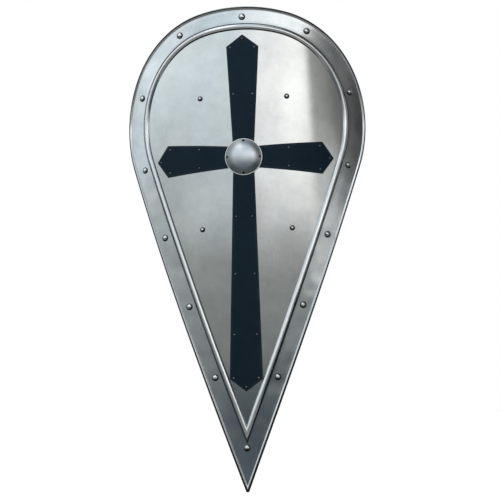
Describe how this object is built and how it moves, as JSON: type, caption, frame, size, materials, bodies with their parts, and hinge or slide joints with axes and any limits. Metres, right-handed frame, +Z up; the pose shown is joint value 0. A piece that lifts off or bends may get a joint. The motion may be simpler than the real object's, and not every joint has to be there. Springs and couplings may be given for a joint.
{
  "type": "kite shield",
  "caption": "Steel kite shield bent about its upright axis, with a beaded and rolled rim, a leather cross, a small domed boss, and leather straps for hand and forearm.",
  "frame": {"origin": "middle of the hand grip, at the middle of the leather's thickness", "axes": "+Z up towards the shield's round top, the front looks along -Y, +X to the right as seen from the front"},
  "size_m": [0.4958, 0.1078, 0.9798],
  "materials": {
    "plate_steel": "satin, faint upright grain",
    "rim_steel": "polished by hand",
    "bright_steel": "polished",
    "dark_steel": "dull, darkened",
    "black_leather": "dark blue-black, low sheen",
    "brown_leather": "oiled, waxed edges"
  },
  "bodies": {
    "shield": {"shield_plate": "plate_steel", "rim_band": "rim_steel", "edge_wire": "dark_steel", "cross": "black_leather", "boss": "bright_steel", "rim_rivet_1": "bright_steel", "rim_rivet_2": "bright_steel", "rim_rivet_3": "bright_steel", "rim_rivet_4": "bright_steel", "rim_rivet_5": "bright_steel", "rim_rivet_6": "bright_steel", "rim_rivet_7": "bright_steel", "rim_rivet_8": "bright_steel", "rim_rivet_9": "bright_steel", "rim_rivet_10": "bright_steel", "rim_rivet_11": "bright_steel", "rim_rivet_12": "bright_steel", "rim_rivet_13": "bright_steel", "rim_rivet_14": "bright_steel", "cross_tack_1": "bright_steel", "cross_tack_2": "bright_steel", "cross_tack_3": "bright_steel", "cross_tack_4": "bright_steel", "cross_tack_5": "bright_steel", "cross_tack_6": "bright_steel", "cross_tack_7": "bright_steel", "cross_tack_8": "bright_steel", "cross_tack_9": "bright_steel", "cross_tack_10": "bright_steel", "cross_tack_11": "bright_steel", "cross_tack_12": "bright_steel", "cross_tack_13": "bright_steel", "cross_tack_14": "bright_steel", "cross_tack_15": "bright_steel", "cross_tack_16": "bright_steel", "cross_tack_17": "bright_steel", "cross_tack_18": "bright_steel", "cross_tack_19": "bright_steel", "cross_tack_20": "bright_steel", "cross_tack_21": "bright_steel", "cross_tack_22": "bright_steel", "cross_tack_23": "bright_steel", "cross_tack_24": "bright_steel", "boss_rivet_1": "dark_steel", "boss_rivet_2": "dark_steel", "boss_rivet_3": "dark_steel", "boss_rivet_4": "dark_steel", "hand_grip_rivet_left": "bright_steel", "hand_grip_rivet_right": "bright_steel", "arm_strap_rivet_left": "bright_steel", "arm_strap_rivet_right": "bright_steel", "hand_grip": "brown_leather", "arm_strap_short_half": "brown_leather", "arm_strap_long_half": "brown_leather", "buckle_frame": "dark_steel"},
    "prong": {"buckle_prong": "dark_steel"},
    "roller": {"buckle_roller": "dark_steel"},
    "keeper": {"strap_keeper": "brown_leather"}
  },
  "joints": [
    {"name": "prong_hinge", "type": "hinge", "parent": "shield", "child": "prong", "pos_m": [-0.0101, 0.0427, -0.27], "axis": [0, 0, 1], "range_deg": [0, 15]},
    {"name": "roller_spin", "type": "hinge", "parent": "shield", "child": "roller", "pos_m": [0.0179, 0.04305, -0.27], "axis": [0, 0, 1], "continuous": true},
    {"name": "keeper_slide", "type": "slide", "parent": "shield", "child": "keeper", "axis": [-0.0294, 0.9996, 0], "range_m": [-0.01, 0.012]}
  ]
}
